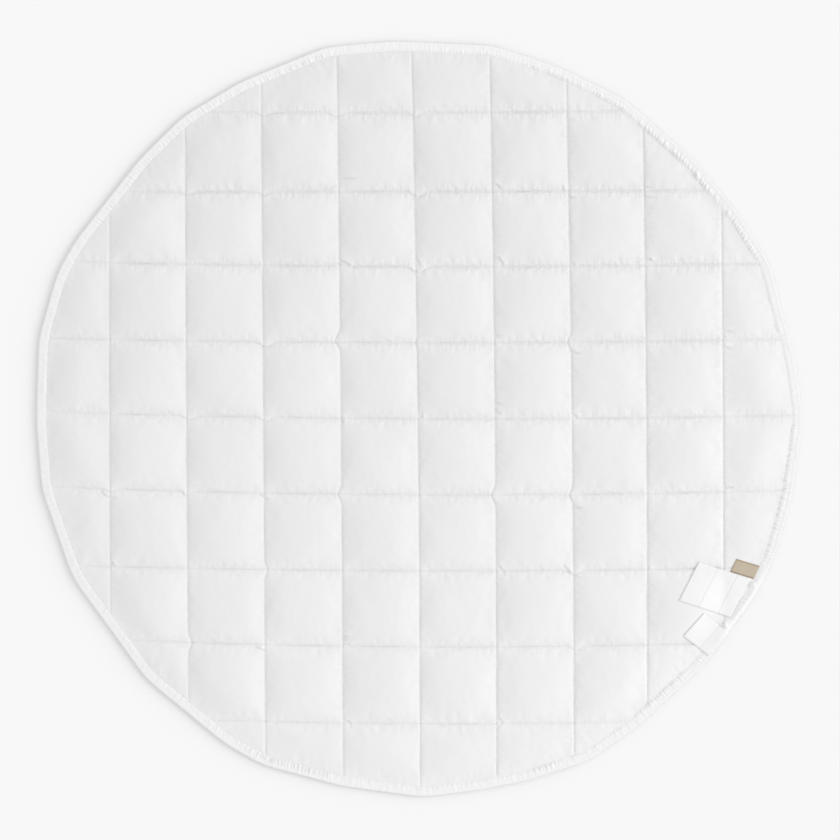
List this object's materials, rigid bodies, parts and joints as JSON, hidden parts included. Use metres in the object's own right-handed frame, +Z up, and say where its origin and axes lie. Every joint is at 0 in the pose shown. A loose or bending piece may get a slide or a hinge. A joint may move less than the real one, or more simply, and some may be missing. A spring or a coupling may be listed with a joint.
{
  "type": "quilted round baby play mat",
  "caption": "Round padded play mat, white cotton quilted in squares, with a folded cotton binding round its rim and small cloth labels sewn in at the edge.",
  "frame": {"origin": "on the floor under the middle of the mat's bounding box", "axes": "+Z up from the floor through the mat's thickness, +Y towards the mat's top, +X to its right"},
  "size_m": [1.0003, 0.986, 0.016],
  "materials": {
    "quilt_cotton": "matt white cotton percale",
    "binding_cotton": "matt white cotton tape",
    "tan_tape": "matt woven cotton tape, tan",
    "label_satin": "soft sheen white polyester satin"
  },
  "bodies": {
    "root": {"quilted_pad": "quilt_cotton", "edge_binding": "binding_cotton", "tape_label": "tan_tape", "care_label_long": "label_satin", "care_label_short": "label_satin"}
  },
  "joints": []
}
